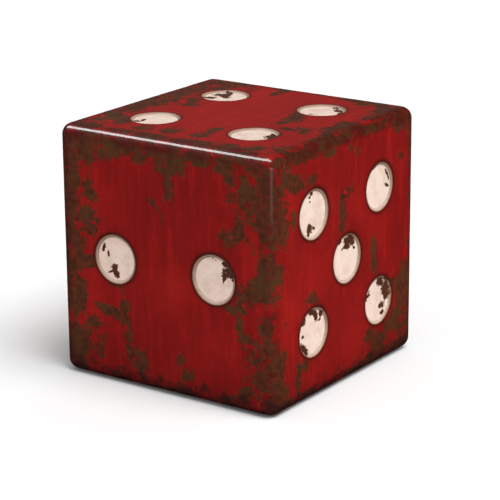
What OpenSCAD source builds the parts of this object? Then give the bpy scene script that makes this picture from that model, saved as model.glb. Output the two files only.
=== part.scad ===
// Die-shaped accent table: a hollow cube of six mitred panels on a hidden
// softwood frame, with turned ivory discs let into its faces as pips.
// +Z is up, the front is -Y, and the floor is z = 0. Millimetres.

/* [Block] */
// Outside size of the cube, the same in all three directions
block_size = 476.25; // [440:0.25:520]
// Radius that rounds every edge, and every corner as a ball
edge_r = 22; // [12:1:26]
// Thickness of the six panels
panel_t = 18; // [16:1:22]
// Glue line left in each glued joint
glue_line = 0.1; // [0.05:0.05:0.3]

/* [Pips] */
// Radius of a pip where it meets the face
pip_r = 47; // [35:1:50]
// Distance of the outer pips from the middle lines of a face
pip_offset = 110; // [102:1:116]
// Depth of a pip's flat floor below the face
pip_depth = 3; // [1.5:0.5:4]
// Width of the sloped wall between rim and floor
pip_slope = 4.4; // [2:0.2:8]
// Width of the flat rim round the sloped wall
pip_rim = 0.6; // [0.4:0.1:2]
// Thickness of the turned disc that a pip is made from
disc_t = 8; // [6:0.5:10]

/* [Inner frame] */
// Side of the square stock of posts, rails and braces
stock = 38; // [34:1:42]
// Distance of the height-wise screws from the middle of a post
post_screw_pitch = 140; // [120:5:150]
// How far the two rows of screws in a post pass each other
post_screw_stagger = 10; // [8:1:15]
// Distance of the screws in a rail from its middle
rail_screw_at = 90; // [70:5:120]
// Distance of the screws in a brace from its middle
brace_screw_at = 75; // [50:5:100]

/* [Dowels and biscuits] */
// Radius of a dowel
dowel_r = 4; // [3:0.5:4.5]
// Length of a dowel
dowel_len = 38; // [30:1:44]
// How much of a dowel stands in the post or rail that it enters sideways
dowel_side_depth = 14; // [10:0.5:14]
// Distance of each dowel of a pair from the middle of the end face
dowel_pair_at = 10; // [8:1:12]
// Length of a biscuit
biscuit_len = 56; // [45:1:60]
// Width of a biscuit, half of it in each panel
biscuit_w = 22; // [16:1:23]
// Thickness of a biscuit
biscuit_t = 4; // [3:0.5:4]
// Distance of a biscuit's middle from the inner corner, along the mitre
biscuit_in = 9; // [8:0.5:10]
// Distance between the biscuits along a mitre
biscuit_pitch = 140; // [100:5:150]

/* [Screws] */
// Length of the long wood screws
screw_len = 50; // [46:1:52]
// Shank radius of the long wood screws
screw_r = 2.2; // [1.8:0.1:2.5]
// Head radius of the long wood screws
screw_head_r = 4.2; // [3.8:0.1:5]
// Length of the glide screws
glide_screw_len = 13; // [10:1:14]
// Shank radius of the glide screws
glide_screw_r = 1.5; // [1.2:0.1:2]
// Head radius of the glide screws
glide_screw_head_r = 3; // [2.6:0.1:3.5]

/* [Glides] */
// Radius of a nylon glide
glide_r = 15; // [10:1:20]
// How far the glides stand out below the bottom panel
glide_proud = 1.5; // [1:0.5:4]
// Depth of the pocket that holds a glide
glide_pocket = 3; // [2:0.5:5]
// Distance of the glides from the middle lines of the bottom
glide_at = 186; // [180:1:190]

/* [Hidden] */
$fn = 64;

red_paint = [0.55, 0.10, 0.09];
ivory_paint = [0.88, 0.80, 0.73];
fir = [0.85, 0.70, 0.48];
beech = [0.78, 0.60, 0.42];
zinc = [0.72, 0.72, 0.70];
nylon = [0.20, 0.16, 0.14];

// Faces, each with the turn that brings a panel from the top to it
TOP = 0; FRONT = 1; RIGHT = 2; BACK = 3; LEFT = 4; BOTTOM = 5;
FACE_TURN = [[0, 0, 0], [90, 0, 0], [90, 0, 90], [90, 0, 180], [90, 0, 270], [180, 0, 0]];
PIP_COUNT = [4, 2, 5, 1, 6, 3];

half = block_size / 2;               // centre of the cube to a face
inner = half - panel_t;              // centre of the cube to a panel's inner face
mid_z = half + glide_proud;          // height of the cube's centre
mitre_shift = glue_line / sqrt(2);   // sideways shift of a mitre that leaves half a glue line
over = 1;                            // overshoot of a cutting tool
hole_gap = 0.05;                     // clearance round a screw or a dowel
slot_gap = 0.1;                      // clearance round a biscuit, a disc or a glide
post_at = inner - glue_line - stock / 2;      // middle line of posts and rails
rail_len = 2 * (post_at - stock / 2 - glue_line);
pilot_len = screw_len + 1;           // drilled depth of a long screw's hole
head_h = 2.6;                        // height of a long screw's countersunk head
glide_head_h = 1.8;                  // height of a glide screw's head
glide_head_sink = 0.7;               // how far that head lies inside the glide
post_screw_heights = [-post_screw_pitch, 0, post_screw_pitch];
biscuit_places = [-biscuit_pitch, 0, biscuit_pitch];
rail_screw_spots = [for (s = [-1, 1], t = [-1, 1]) each [[s * rail_screw_at, t * post_at],
                                                         [t * post_at, s * rail_screw_at]]];
brace_screw_spots = [for (s = [-1, 1]) each [[s * brace_screw_at, 0], [0, s * brace_screw_at]]];
glide_spots = [for (x = [-1, 1], y = [-1, 1]) [x * glide_at, y * glide_at]];
corner_spots = [for (x = [-1, 1], y = [-1, 1]) [x, y]];

// Places of the pips of a face, in units of pip_offset, x to the right and y up
function pip_spots(count) =
    count == 1 ? [[0, 0]]
  : count == 2 ? [[-1, 0], [1, 0]]
  : count == 3 ? [[-1, -1], [0, 0], [1, 1]]
  : count == 4 ? corner_spots
  : count == 5 ? concat(corner_spots, [[0, 0]])
  : concat(corner_spots, [[-1, 0], [1, 0]]);

// Moves the children, drawn as on the top with the outer face at z = half, to a face
module on_face(face) {
  translate([0, 0, mid_z]) rotate(FACE_TURN[face]) children();
}

module at_pips(face) {
  for (spot = pip_spots(PIP_COUNT[face])) translate([spot.x, spot.y, 0] * pip_offset) children();
}

/* ---- Screws, dowels and biscuits ---- */

// A cross-headed countersunk screw, head at z = 0 and tip at z = length
module screw(length, r, head_r, cone_h) {
  tip = 3 * r;
  difference() {
    rotate_extrude()
      polygon([[0, 0], [head_r, 0], [head_r, 0.3], [r, cone_h], [r, length - tip], [0, length]]);
    for (a = [0, 90]) rotate([0, 0, a])
      translate([-head_r * 0.55, -head_r * 0.11, -over])
        cube([head_r * 1.1, head_r * 0.22, over + cone_h * 0.5]);
  }
}

// The hole of such a screw, with its countersink
module screw_hole(length, r, head_r, cone_h) {
  cylinder(h = length, r = r + hole_gap);
  translate([0, 0, 0.3 + hole_gap])
    cylinder(h = cone_h - 0.3, r1 = head_r + hole_gap, r2 = r + hole_gap);
  translate([0, 0, -over]) cylinder(h = over + 0.3 + hole_gap, r = head_r + hole_gap);
}

module long_screw() { screw(screw_len, screw_r, screw_head_r, head_h); }
module long_screw_hole() { screw_hole(pilot_len, screw_r, screw_head_r, head_h); }

// A dowel along +X that enters the far piece at x = 0
module dowel() {
  translate([dowel_side_depth - dowel_len, 0, 0]) rotate([0, 90, 0]) cylinder(h = dowel_len, r = dowel_r);
}

module dowel_hole() {
  translate([dowel_side_depth - dowel_len - 0.5, 0, 0]) rotate([0, 90, 0])
    cylinder(h = dowel_len + 1, r = dowel_r + hole_gap);
}

// The oval of a biscuit, cut by two arcs
module biscuit_outline(extra) {
  w = biscuit_w / 2 + extra;
  l = biscuit_len / 2 + extra;
  r = (l * l + w * w) / (2 * w);
  intersection_for (s = [-1, 1]) translate([s * (r - w), 0]) circle(r = r);
}

// The biscuits of the mitre at the +X edge of a panel
module edge_biscuits(extra = 0) {
  for (y = biscuit_places)
    translate([inner + biscuit_in / sqrt(2), y, inner + biscuit_in / sqrt(2)])
      rotate([0, 45, 0])
        linear_extrude(biscuit_t + 2 * extra, center = true) biscuit_outline(extra);
}

// Where the screws of a side's two posts go; the rows pass each other inside a post
module at_post_screws() {
  for (s = [-1, 1], y = post_screw_heights)
    translate([s * post_at, y + s * post_screw_stagger, post_at - stock / 2]) children();
}

module at_top_screws() {
  for (spot = concat(rail_screw_spots, brace_screw_spots))
    translate([spot.x, spot.y, post_at - stock / 2]) children();
}

module at_bottom_screws() {
  for (spot = rail_screw_spots) translate([spot.x, spot.y, half]) mirror([0, 0, 1]) children();
}

/* ---- Panels ---- */

// Cross-section of a panel: mitred ends under rounded outer edges
module panel_outline() {
  intersection() {
    translate([-half, inner]) square([2 * half, panel_t]);
    polygon([[0, mitre_shift], [half + over, half + over + mitre_shift],
             [-half - over, half + over + mitre_shift]]);
    union() {
      translate([edge_r - half, 0]) square([2 * (half - edge_r), half]);
      translate([-half, 0]) square([2 * half, half - edge_r]);
      for (s = [-1, 1]) translate([s * (half - edge_r), half - edge_r]) circle(r = edge_r);
    }
  }
}

module panel_bar() {
  rotate([90, 0, 0]) linear_extrude(2 * half, center = true) panel_outline();
}

// What is taken off a corner to leave it as part of a ball
module corner_waste() {
  translate([1, 1, 1] * (half - edge_r)) difference() {
    cube(edge_r + over);
    sphere(r = edge_r);
  }
}

module blank_panel() {
  difference() {
    intersection() {
      panel_bar();
      rotate([0, 0, 90]) panel_bar();
    }
    for (a = [0:90:270]) rotate([0, 0, a]) corner_waste();
  }
}

// A panel with its pip pockets and its biscuit slots; children are cut away too
module panel(face, biscuit_turns) {
  color(red_paint) on_face(face) difference() {
    blank_panel();
    at_pips(face) translate([0, 0, half - disc_t]) cylinder(h = disc_t + over, r = pip_r);
    for (a = biscuit_turns) rotate([0, 0, a]) edge_biscuits(slot_gap);
    children();
  }
}

module side_panel(face) {
  panel(face, [0, 90, 180]) at_post_screws() long_screw_hole();
}

module top_panel() {
  panel(TOP, [0, 90, 180, 270]) at_top_screws() long_screw_hole();
}

module bottom_panel() {
  panel(BOTTOM, []) {
    at_bottom_screws() long_screw_hole();
    at_glides() {
      cylinder(h = glide_proud + glide_pocket + over, r = glide_r + slot_gap);
      translate([0, 0, -glide_screw_len]) cylinder(h = glide_screw_len + over, r = glide_screw_r + hole_gap);
    }
  }
}

/* ---- Pips ---- */

// One disc with a dished face, its rim flush with the panel
module pip_disc() {
  r = pip_r - slot_gap;
  slope_r = r - pip_rim;
  rotate_extrude()
    polygon([[0, half - disc_t], [r, half - disc_t], [r, half], [slope_r, half],
             [slope_r - pip_slope, half - pip_depth], [0, half - pip_depth]]);
}

module pips(face) { color(ivory_paint) on_face(face) at_pips(face) pip_disc(); }

/* ---- Inner frame ---- */

// A post for the front right corner, turned a quarter for each next corner
module post(quarter) {
  end = inner - glue_line;
  color(fir) rotate([0, 0, 90 * quarter]) difference() {
    translate([post_at - stock / 2, -post_at - stock / 2, mid_z - end]) cube([stock, stock, 2 * end]);
    on_face(FRONT) at_post_screws() long_screw_hole();
    on_face(RIGHT) at_post_screws() long_screw_hole();
    for (z = [-post_at, post_at]) translate([0, 0, mid_z + z]) {
      at_rail_end() dowel_hole();
      rotate([0, 0, 90]) mirror([1, 0, 0]) at_rail_end() dowel_hole();
    }
  }
}

// The dowels at the right-hand end of a rail along the front, at the rail's height
module at_rail_end() {
  for (z = [-dowel_pair_at, dowel_pair_at])
    translate([rail_len / 2 + glue_line, -post_at, z]) children();
}

// A brace's dowels, where its end meets the right-hand rail
module at_brace_end() {
  for (y = [-dowel_pair_at, dowel_pair_at])
    translate([post_at - stock / 2, y, mid_z + post_at]) children();
}

// A front rail, turned a quarter for each next side; level is 1 at the top and -1 at the bottom
module rail(quarter, level) {
  color(fir) rotate([0, 0, 90 * quarter]) difference() {
    translate([-rail_len / 2, -post_at - stock / 2, mid_z + level * post_at - stock / 2])
      cube([rail_len, stock, stock]);
    translate([0, 0, mid_z + level * post_at]) {
      at_rail_end() dowel_hole();
      mirror([1, 0, 0]) at_rail_end() dowel_hole();
    }
    if (level > 0) {
      on_face(TOP) at_top_screws() long_screw_hole();
      rotate([0, 0, -90]) at_brace_end() dowel_hole();
    } else {
      on_face(BOTTOM) at_bottom_screws() long_screw_hole();
    }
  }
}

// A brace along X under the top; notch_level 1 halves it from above, -1 from below
module brace(quarter, notch_level) {
  length = rail_len;
  color(fir) rotate([0, 0, 90 * quarter]) difference() {
    translate([-length / 2, -stock / 2, mid_z + post_at - stock / 2]) cube([length, stock, stock]);
    translate([-stock / 2 - glue_line, -stock / 2 - over,
               mid_z + post_at + (notch_level > 0 ? -glue_line / 2 : -stock / 2 - over)])
      cube([stock + 2 * glue_line, stock + 2 * over, stock / 2 + over + glue_line / 2]);
    on_face(TOP) at_top_screws() long_screw_hole();
    at_brace_end() dowel_hole();
    mirror([1, 0, 0]) at_brace_end() dowel_hole();
  }
}

module rail_dowels() {
  color(beech) for (quarter = [0:3], z = [-post_at, post_at])
    rotate([0, 0, 90 * quarter]) translate([0, 0, mid_z + z]) {
      at_rail_end() dowel();
      mirror([1, 0, 0]) at_rail_end() dowel();
    }
}

module brace_dowels() {
  color(beech) for (quarter = [0:3]) rotate([0, 0, 90 * quarter]) at_brace_end() dowel();
}

module side_biscuits() { color(beech) for (face = [FRONT:LEFT]) on_face(face) edge_biscuits(); }

module top_biscuits() {
  color(beech) on_face(TOP) for (a = [0:90:270]) rotate([0, 0, a]) edge_biscuits();
}

/* ---- Fasteners and glides ---- */

module post_screws() { color(zinc) for (face = [FRONT:LEFT]) on_face(face) at_post_screws() long_screw(); }

module top_screws() { color(zinc) on_face(TOP) at_top_screws() long_screw(); }

module bottom_screws() { color(zinc) on_face(BOTTOM) at_bottom_screws() long_screw(); }

// Floor of each glide pocket, +Z out of the panel
module at_glides() {
  for (spot = glide_spots) translate([spot.x, spot.y, half - glide_pocket]) children();
}

// One glide with a bevelled tread and a countersunk middle
module glide() {
  h = glide_pocket + glide_proud;
  sink = h - glide_head_sink;
  bevel = glide_proud / 2;
  difference() {
    rotate_extrude()
      polygon([[0, 0], [glide_r, 0], [glide_r, h - bevel], [glide_r - bevel, h], [0, h]]);
    translate([0, 0, sink]) mirror([0, 0, 1])
      screw_hole(h + over, glide_screw_r, glide_screw_head_r, glide_head_h);
  }
}

module glides() { color(nylon) on_face(BOTTOM) at_glides() glide(); }

module glide_screws() {
  color(zinc) on_face(BOTTOM) at_glides()
    translate([0, 0, glide_pocket + glide_proud - glide_head_sink]) mirror([0, 0, 1])
      screw(glide_screw_len, glide_screw_r, glide_screw_head_r, glide_head_h);
}

top_panel();
side_panel(FRONT);  // front_panel
side_panel(RIGHT);  // right_panel
side_panel(BACK);  // back_panel
side_panel(LEFT);  // left_panel
bottom_panel();
pips(TOP);  // top_pips
pips(FRONT);  // front_pips
pips(RIGHT);  // right_pips
pips(BACK);  // back_pips
pips(LEFT);  // left_pips
pips(BOTTOM);  // bottom_pips
post(0);  // post_front_right
post(1);  // post_back_right
post(2);  // post_back_left
post(3);  // post_front_left
rail(0, 1);  // top_rail_front
rail(1, 1);  // top_rail_right
rail(2, 1);  // top_rail_back
rail(3, 1);  // top_rail_left
rail(0, -1);  // bottom_rail_front
rail(1, -1);  // bottom_rail_right
rail(2, -1);  // bottom_rail_back
rail(3, -1);  // bottom_rail_left
brace(0, 1);  // brace_left_right
brace(1, -1);  // brace_front_back
rail_dowels();
brace_dowels();
side_biscuits();
top_biscuits();
post_screws();
top_screws();
bottom_screws();
glides();
glide_screws();
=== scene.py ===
"""Looks of the die-shaped accent table: distressed red panels, chipped ivory pips and the parts inside.

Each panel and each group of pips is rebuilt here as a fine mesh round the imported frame, with its dents,
its worn patches and its chipped paint in the mesh. The other CAD nodes stay and get materials of their own.
Sizes are in millimetres until a mesh is made.
"""
import math

import bpy
import numpy as np
from mathutils import Matrix, Vector


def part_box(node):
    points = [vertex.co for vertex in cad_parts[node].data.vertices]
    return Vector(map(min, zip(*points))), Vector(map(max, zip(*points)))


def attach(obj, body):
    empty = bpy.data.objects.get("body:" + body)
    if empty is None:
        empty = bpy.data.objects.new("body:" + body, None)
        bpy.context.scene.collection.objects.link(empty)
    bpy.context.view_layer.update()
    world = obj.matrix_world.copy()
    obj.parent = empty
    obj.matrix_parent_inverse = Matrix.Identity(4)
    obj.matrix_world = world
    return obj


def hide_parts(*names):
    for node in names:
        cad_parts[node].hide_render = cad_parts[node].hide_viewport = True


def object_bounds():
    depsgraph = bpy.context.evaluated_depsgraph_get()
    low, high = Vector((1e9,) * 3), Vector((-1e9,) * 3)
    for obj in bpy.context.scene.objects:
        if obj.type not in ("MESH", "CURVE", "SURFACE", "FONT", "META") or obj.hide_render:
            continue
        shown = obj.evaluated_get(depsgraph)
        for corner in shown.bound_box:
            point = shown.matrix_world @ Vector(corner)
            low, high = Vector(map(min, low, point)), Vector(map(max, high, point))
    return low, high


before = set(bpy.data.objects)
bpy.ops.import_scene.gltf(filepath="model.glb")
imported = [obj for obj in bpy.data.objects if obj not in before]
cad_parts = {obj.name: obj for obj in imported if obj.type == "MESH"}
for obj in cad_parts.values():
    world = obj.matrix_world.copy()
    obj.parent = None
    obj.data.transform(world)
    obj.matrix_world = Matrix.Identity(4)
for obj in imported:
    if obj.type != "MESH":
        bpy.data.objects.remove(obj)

MM = 0.001
cad_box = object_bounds()

# ---- Sizes taken from the frame --------------------


def box_size(node):
    """Size of a CAD node along x, y and z."""
    low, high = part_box(node)
    return (high - low) / MM


HALF = (cad_box[1].x - cad_box[0].x) / 2 / MM       # centre of the cube to a face
MID = Vector((0, 0, cad_box[1].z / MM - HALF))      # the cube's centre
PANEL_T = box_size("front_panel").y
DISC_R = box_size("back_pips").x / 2
DISC_T = box_size("back_pips").y
PIP_OFFSET = box_size("top_pips").x / 2 - DISC_R    # middle line of a face to its outer pips
GLIDE_R = 15.0
GLIDE_OFFSET = box_size("glides").x / 2 - GLIDE_R   # middle line of the bottom to the glides
GLIDE_SUNK = box_size("glides").z - (MID.z - HALF)  # how deep a glide is let in

# ---- Sizes of this model ---------------------------

EDGE_R = 22.0                 # rounding of every edge and corner
FLAT = HALF - EDGE_R          # middle line of a face to the start of its rounding
CELL_EDGE = 1.5 * PIP_OFFSET  # middle line of a face to the end of its 3 x 3 cells
POCKET_GAP = 0.1              # between a disc or glide and its pocket
RIM_ROUND = 1.0               # rounding of a pocket's mouth
PIP_DEPTH = 3.0               # depth of a pip's floor
PIP_SLOPE = 4.4               # width of the wall round the floor
PIP_RIM = 0.6                 # flat rim outside that wall
PAINT = 0.22                  # thickness of the red paint
CHIP = 0.35                   # depth of a chip in the ivory paint
IVORY_SUNK = 0.12             # mean depth of the ivory paint's brush marks
BRUSH_DEPTH = 0.12            # how far the brush marks stray from that depth
WOBBLE = 0.5                  # depth of the slow waves in a panel

# Steps of the meshes
CELL_STEPS = 44               # across a cell that holds a pip
BORDER_STEPS = 20             # from the cells to the rounding
ARC_STEPS = 9                 # round half an edge
PIP_TURNS = 144               # round a disc
FLOOR_STEPS = 29              # from the middle of a pip's floor to its edge
RING_SHARES = (1, 0.8, 0.62, 0.46, 0.32, 0.2, 0.1, 0.04)   # from a pocket's square, 1, in to its mouth, 0
MOUTH_ANGLES = (0, 22, 45, 68, 90)                         # round a pocket's mouth, in degrees
WALL_SHARES = (0.3, 0.5, 0.7, 0.85, 0.95)                  # up the wall of a pip
FLOOR_GROOVE = ((-0.5, -0.1), (0, -0.25), (0.4, 0.05))     # round a pip's floor: out and up from its edge
DISC_ROUND = (0.3, 0.25)                                   # rounding of a disc's rim: across and down
UNSUNK_RIM = 0.2              # the outermost strip of a disc, which stays at its full height
SAME = 0.01                   # points closer than this lie on the same grid line
WELD_DIGITS = 4               # decimals to which the points of one face are compared
SEAM_DIGITS = 2               # decimals to which the points of all faces are compared

X, Y, Z = np.eye(3)
# Each face: the directions to its right, up it and out of it as seen from outside, and its pip count
FACES = {
    "top": (X, Y, Z, 4),
    "front": (X, Z, -Y, 2),
    "right": (Y, Z, X, 5),
    "back": (-X, Z, Y, 1),
    "left": (-Y, Z, -X, 6),
    "bottom": (X, -Y, -Z, 3),
}
CORNERS = [(-1, -1), (-1, 1), (1, -1), (1, 1)]
PIP_SPOTS = {
    1: [(0, 0)],
    2: [(-1, 0), (1, 0)],
    3: [(-1, -1), (0, 0), (1, 1)],
    4: CORNERS,
    5: CORNERS + [(0, 0)],
    6: CORNERS + [(-1, 0), (1, 0)],
}

# ---- Worn places and chips -------------------------

# Worn places of the faces that a visitor sees first, listed one by one. In a face's own axes, from its
# middle: x to the right, y up, half width, half height, turn in degrees.
WORN = {
    "front": [
        (-185, 208, 62, 26, 8), (-150, 192, 30, 12, 20), (-215, 120, 24, 90, 0), (-165, 118, 14, 22, 20),
        (-182, 72, 24, 18, 0), (-165, 50, 12, 10, 0), (-215, 10, 24, 60, 0), (-185, -22, 40, 10, 25),
        (-210, -80, 26, 40, 0), (-192, -85, 14, 14, 0), (-130, -100, 34, 8, -8), (-98, -114, 18, 8, -20),
        (-165, -132, 17, 12, 0), (-182, -168, 32, 26, 0), (-150, -185, 12, 20, 0), (-215, -190, 24, 60, 0),
        (-108, -46, 15, 12, -10), (-90, -88, 11, 10, 0), (-81, -146, 9, 12, 0), (-70, -182, 18, 30, 30),
        (38, -164, 7, 12, 0), (50, -190, 12, 16, 0), (-95, 216, 45, 13, 0), (-52, 200, 14, 12, 0),
        (-110, 200, 14, 10, 0), (10, 212, 44, 20, 0), (22, 192, 24, 14, 0), (2, 184, 14, 11, 0),
        (14, 160, 9, 26, 8), (9, 134, 8, 12, 0), (-24, 122, 9, 8, 0), (-12, 112, 14, 7, -35),
        (-4, 98, 5, 10, 0), (75, 216, 30, 13, 0), (132, 208, 17, 16, 0), (146, 190, 10, 12, 30),
        (200, 190, 34, 44, 0), (182, 152, 32, 20, -15), (200, 128, 24, 22, 0), (165, 108, 8, 13, 0),
        (226, 120, 22, 66, 0), (152, 80, 24, 14, 10), (140, 64, 8, 10, 0), (222, 24, 20, 44, 0),
        (188, -20, 28, 20, 15), (208, 6, 14, 26, 0), (172, -46, 12, 8, 0), (146, -50, 16, 7, -30),
        (165, -72, 8, 16, 15), (188, -98, 22, 8, -15), (216, -120, 28, 52, 0), (205, -175, 24, 34, 0),
        (184, -196, 18, 14, 30), (222, 200, 18, 30, 0),
    ],
    "right": [
        (-218, 190, 30, 44, 0), (-200, 180, 38, 18, -10), (-160, 172, 26, 8, -12), (-222, 112, 26, 34, 0),
        (-228, 26, 15, 17, 0), (-116, 173, 20, 9, 0), (-172, 112, 8, 16, 0), (-8, 122, 18, 10, 20),
        (-14, 92, 11, 34, 8), (-16, 64, 10, 14, 0), (14, 202, 13, 6, -10), (34, 194, 11, 9, 0),
        (90, -4, 7, 24, 0), (88, -36, 14, 8, 10), (98, -44, 8, 12, 0), (-118, -44, 17, 11, 15),
        (-102, -54, 12, 8, 0), (180, -86, 34, 12, 5), (205, -100, 32, 34, 0), (200, -160, 40, 50, 0),
        (164, -168, 26, 20, 0), (110, -190, 34, 15, 0), (80, -172, 14, 10, 0), (150, -216, 90, 14, 0),
        (50, -222, 60, 8, 0), (-226, -140, 22, 36, 0), (-204, -128, 10, 10, 0), (-222, -190, 24, 26, 0),
        (-148, -164, 18, 10, 0), (-158, -190, 10, 24, 0), (-224, -220, 40, 12, 0), (0, 230, 240, 10, 0),
        (-150, 216, 22, 7, 0), (-60, 210, 20, 5, 0), (-130, 224, 60, 10, 0), (186, 154, 9, 12, 0),
        (120, 226, 60, 8, 0), (234, 0, 7, 220, 0), (222, 224, 36, 22, 0), (188, 214, 22, 10, 0),
        (228, 168, 12, 30, 0), (226, 60, 12, 34, 0),
    ],
    "top": [
        (-202, 40, 34, 210, 0), (-150, 190, 40, 30, 0), (-160, 160, 22, 22, 0), (-172, 95, 18, 30, 20),
        (-140, 48, 14, 24, 30), (-124, 18, 13, 20, 30), (-36, 190, 11, 34, 0), (92, 62, 13, 20, 15),
        (104, 26, 14, 26, 10), (106, -8, 8, 14, 0), (150, 212, 60, 15, 0), (205, 168, 18, 34, 20),
        (216, 110, 12, 26, 0), (212, 30, 26, 36, 0), (204, -14, 22, 24, 0), (168, -40, 20, 18, 0),
        (184, -58, 16, 10, 0), (140, -48, 18, 8, 0), (34, -134, 12, 34, 0), (-34, -172, 15, 18, 0),
        (36, -170, 16, 20, 0), (-80, -182, 14, 20, 20), (-152, -150, 14, 30, 20), (30, -218, 28, 14, 0),
        (140, -214, 70, 19, 0), (60, -212, 50, 12, 0), (-70, -216, 60, 10, 0),
        (-40, -228, 34, 9, 0), (176, -196, 20, 20, 0), (216, -176, 20, 26, 0),
        (-190, -130, 20, 34, 20), (228, -60, 14, 40, 0), (-190, -216, 40, 16, 0), (0, 228, 220, 9, 0),
        (222, 222, 44, 30, 0), (226, 172, 20, 50, 0), (196, 200, 24, 16, 30), (150, 190, 14, 8, 10),
    ],
}

# Chips in the ivory paint of each pip: the same five numbers, from the pip's own middle
CHIPPED = {
    ("front", 0): [(-28, 17, 5, 8, -20), (-18, 7, 3, 7, 0), (-4, -18, 9, 9, 0), (-1, -27, 7, 9, 30),
                   (-12, -26, 8, 2, 20)],
    ("front", 1): [(23, 31, 11, 7, -20), (29, 18, 11, 12, -30), (22, 6, 5, 10, -20), (39, 4, 3, 3, 0),
                   (38, 17, 4, 9, 20), (-2, 38, 2, 2, 0), (4, 36, 2, 2, 0)],
    ("right", 0): [(0, 37, 16, 6, -10), (9, 29, 7, 12, 25), (25, 28, 7, 6, -30), (22, 17, 6, 3, 10),
                   (-31, -1, 5, 4, 0), (-31, -22, 13, 6, -45), (-21, -32, 9, 6, -20), (-30, 27, 6, 8, -40)],
    ("right", 1): [(-5, 38, 5, 4, 30), (-11, 32, 4, 3, 0), (-9, 24, 3, 2, 0), (-8, -26, 8, 10, 20),
                   (-13, -34, 5, 7, 0), (3, -27, 5, 4, 0)],
    ("right", 2): [(30, 36, 12, 5, -30), (30, 2, 7, 3, -40), (14, -15, 12, 7, 0), (17, -29, 8, 5, 15),
                   (12, 32, 15, 9, -25), (26, 16, 15, 14, -35), (33, 0, 10, 9, 0), (-34, 15, 11, 3, 10),
                   (-40, 9, 5, 3, -30), (-30, 21, 5, 2, 50)],
    ("right", 3): [(-15, 41, 12, 4, 20), (33, 14, 3, 11, 20), (30, -4, 8, 3, -30), (27, 22, 3, 7, 30)],
    ("right", 4): [(-20, 35, 6, 5, 30), (8, 31, 17, 8, -10), (2, 22, 13, 6, 0), (20, 25, 10, 7, -20),
                   (-12, 20, 5, 2, 20), (27, 14, 6, 3, -30), (14, 38, 12, 4, -30)],
    ("top", 0): [(-17, -14, 5, 9, 20), (-23, -26, 7, 6, 0), (0, -46, 14, 5, 0)],
    ("top", 1): [(-14, 10, 22, 13, 10), (-2, 2, 14, 9, -30), (-22, -20, 17, 8, 10), (-12, 30, 8, 14, 20),
                 (38, -26, 10, 5, 35)],
    ("top", 2): [(32, 8, 12, 14, 0), (40, -8, 5, 12, 10), (26, 24, 9, 4, -40)],
    ("top", 3): [(22, 22, 15, 8, -35), (36, 8, 7, 12, 20), (10, 36, 9, 4, -20), (-6, -28, 5, 3, 30)],
}

# Ranges of the random worn places and chips: half width, half height and turn in degrees
EDGE_PLACE = ((10, 40), (10, 34), (-40, 40))
INNER_PLACE = ((6, 16), (9, 28), (-30, 30))
CHIP_PLACE = ((3, 13), (3, 9), (0, 180))
RANDOM_EDGE_PLACES = 34       # how many random worn places a face gets along its edges
RANDOM_INNER_PLACES = 12      # and how many inside
EDGE_BAND = 45                # how far in from an edge the middle of the first kind may lie
INNER_REACH = 185             # how far from a face's middle lines the middle of the second kind may lie
CHIP_COUNT = (3, 8)           # how many random chips a pip gets, the last number left out
CHIP_RING = (0.45, 0.95)      # where on the radius of its disc such a chip lies
PLACE_SEED = 40
CHIP_SEED = 900

WRAP = 30                     # the farthest that a worn place reaches in from its face
NEAR_FACE = 60                # a face wears only points within this of its plane
FAR_OUTSIDE = -4.0            # the wear of a point that no place is near
WEAR_LIMITS = (-1.3, 0.40)    # the wear is kept between these before noise breaks it up
CHIP_LIMITS = (-1.5, 0.5)
RAGGED = 0.24                 # how strongly noise breaks up the worn places
CHIP_RAGGED = 0.15
BARE_BAND = (-0.05, 0.06)     # the wear over which the red paint steps down to the wood
CHIP_BAND = (-0.04, 0.06)     # the same for the ivory paint
CALM_BAND = (1, 16)           # the distance from a pocket's rim over which the waves swell
LEVEL_BAND = (-6, 8)          # the stretch round the start of the rounding where the steps flatten
LEVELLED = 0.88               # the share of a step that is lost on the rounding
EDGE_STAIN_SHADE_BAND = (34, 4)          # how far in from the cube's planes the stain and painted shade of the edges start and are full
LIT_EDGE_BAND = (75, 30)        # the same for the stretch along the upright edge between front and right, which faces the light, counted from both planes together
LIT_EDGE_SHARE = 0.65                 # the share of the edges' stain and painted shade that is left out there, since that edge faces the light

# Noise in the meshes: size of its features, seed, octaves, and what each octave keeps of the one before
WEAR_NOISE = {"size": 24, "seed": 5, "octaves": 4, "fall": 0.75}
WAVE_NOISE = {"size": 130, "seed": 11, "octaves": 2}
GRAIN_NOISE = {"size": 7, "seed": 23, "octaves": 2}
BRUSH_NOISE = {"size": 24, "seed": 77, "octaves": 2}
CHIP_NOISE = {"size": 9, "octaves": 3, "fall": 0.6}
CHIP_NOISE_SEED = 300
WEAR_SQUEEZE = np.array([1, 1, 0.72])     # draws the worn places out upwards
GRAIN_SQUEEZE = np.array([1, 1, 0.4])
DISC_SHIFT = 61                           # between the noise of one disc and the next
OCTAVE_SHIFT = 17.3                       # between the octaves of a noise

# The hash behind the noise: its factors, and the bits that are kept of it
HASH_AXES = np.array([374761393, 668265263, 2147483647])
HASH_SEED = 144665
HASH_MIX = 1274126177
HASH_BITS = 0xFFFFFF

# ---- Noise on points -------------------------------


def lattice(cell, seed):
    """A steady pseudo-random number from -1 to 1 for each whole-numbered lattice point."""
    n = (cell * HASH_AXES).sum(axis=-1) + seed * HASH_SEED
    n = (n ^ (n >> 13)) * HASH_MIX
    n = n ^ (n >> 16)
    return (n & HASH_BITS) / (HASH_BITS >> 1) - 1.0


def noise(points, size, seed):
    """Smooth noise from -1 to 1 at points, with features about size across."""
    scaled = points / size
    cell = np.floor(scaled).astype(np.int64)
    t = scaled - cell
    t = t * t * t * (t * (t * 6 - 15) + 10)
    total = np.zeros(len(points))
    for corner in np.ndindex(2, 2, 2):
        share = np.prod(np.where(corner, t, 1 - t), axis=1)
        total += share * lattice(cell + np.array(corner), seed)
    return total


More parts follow.
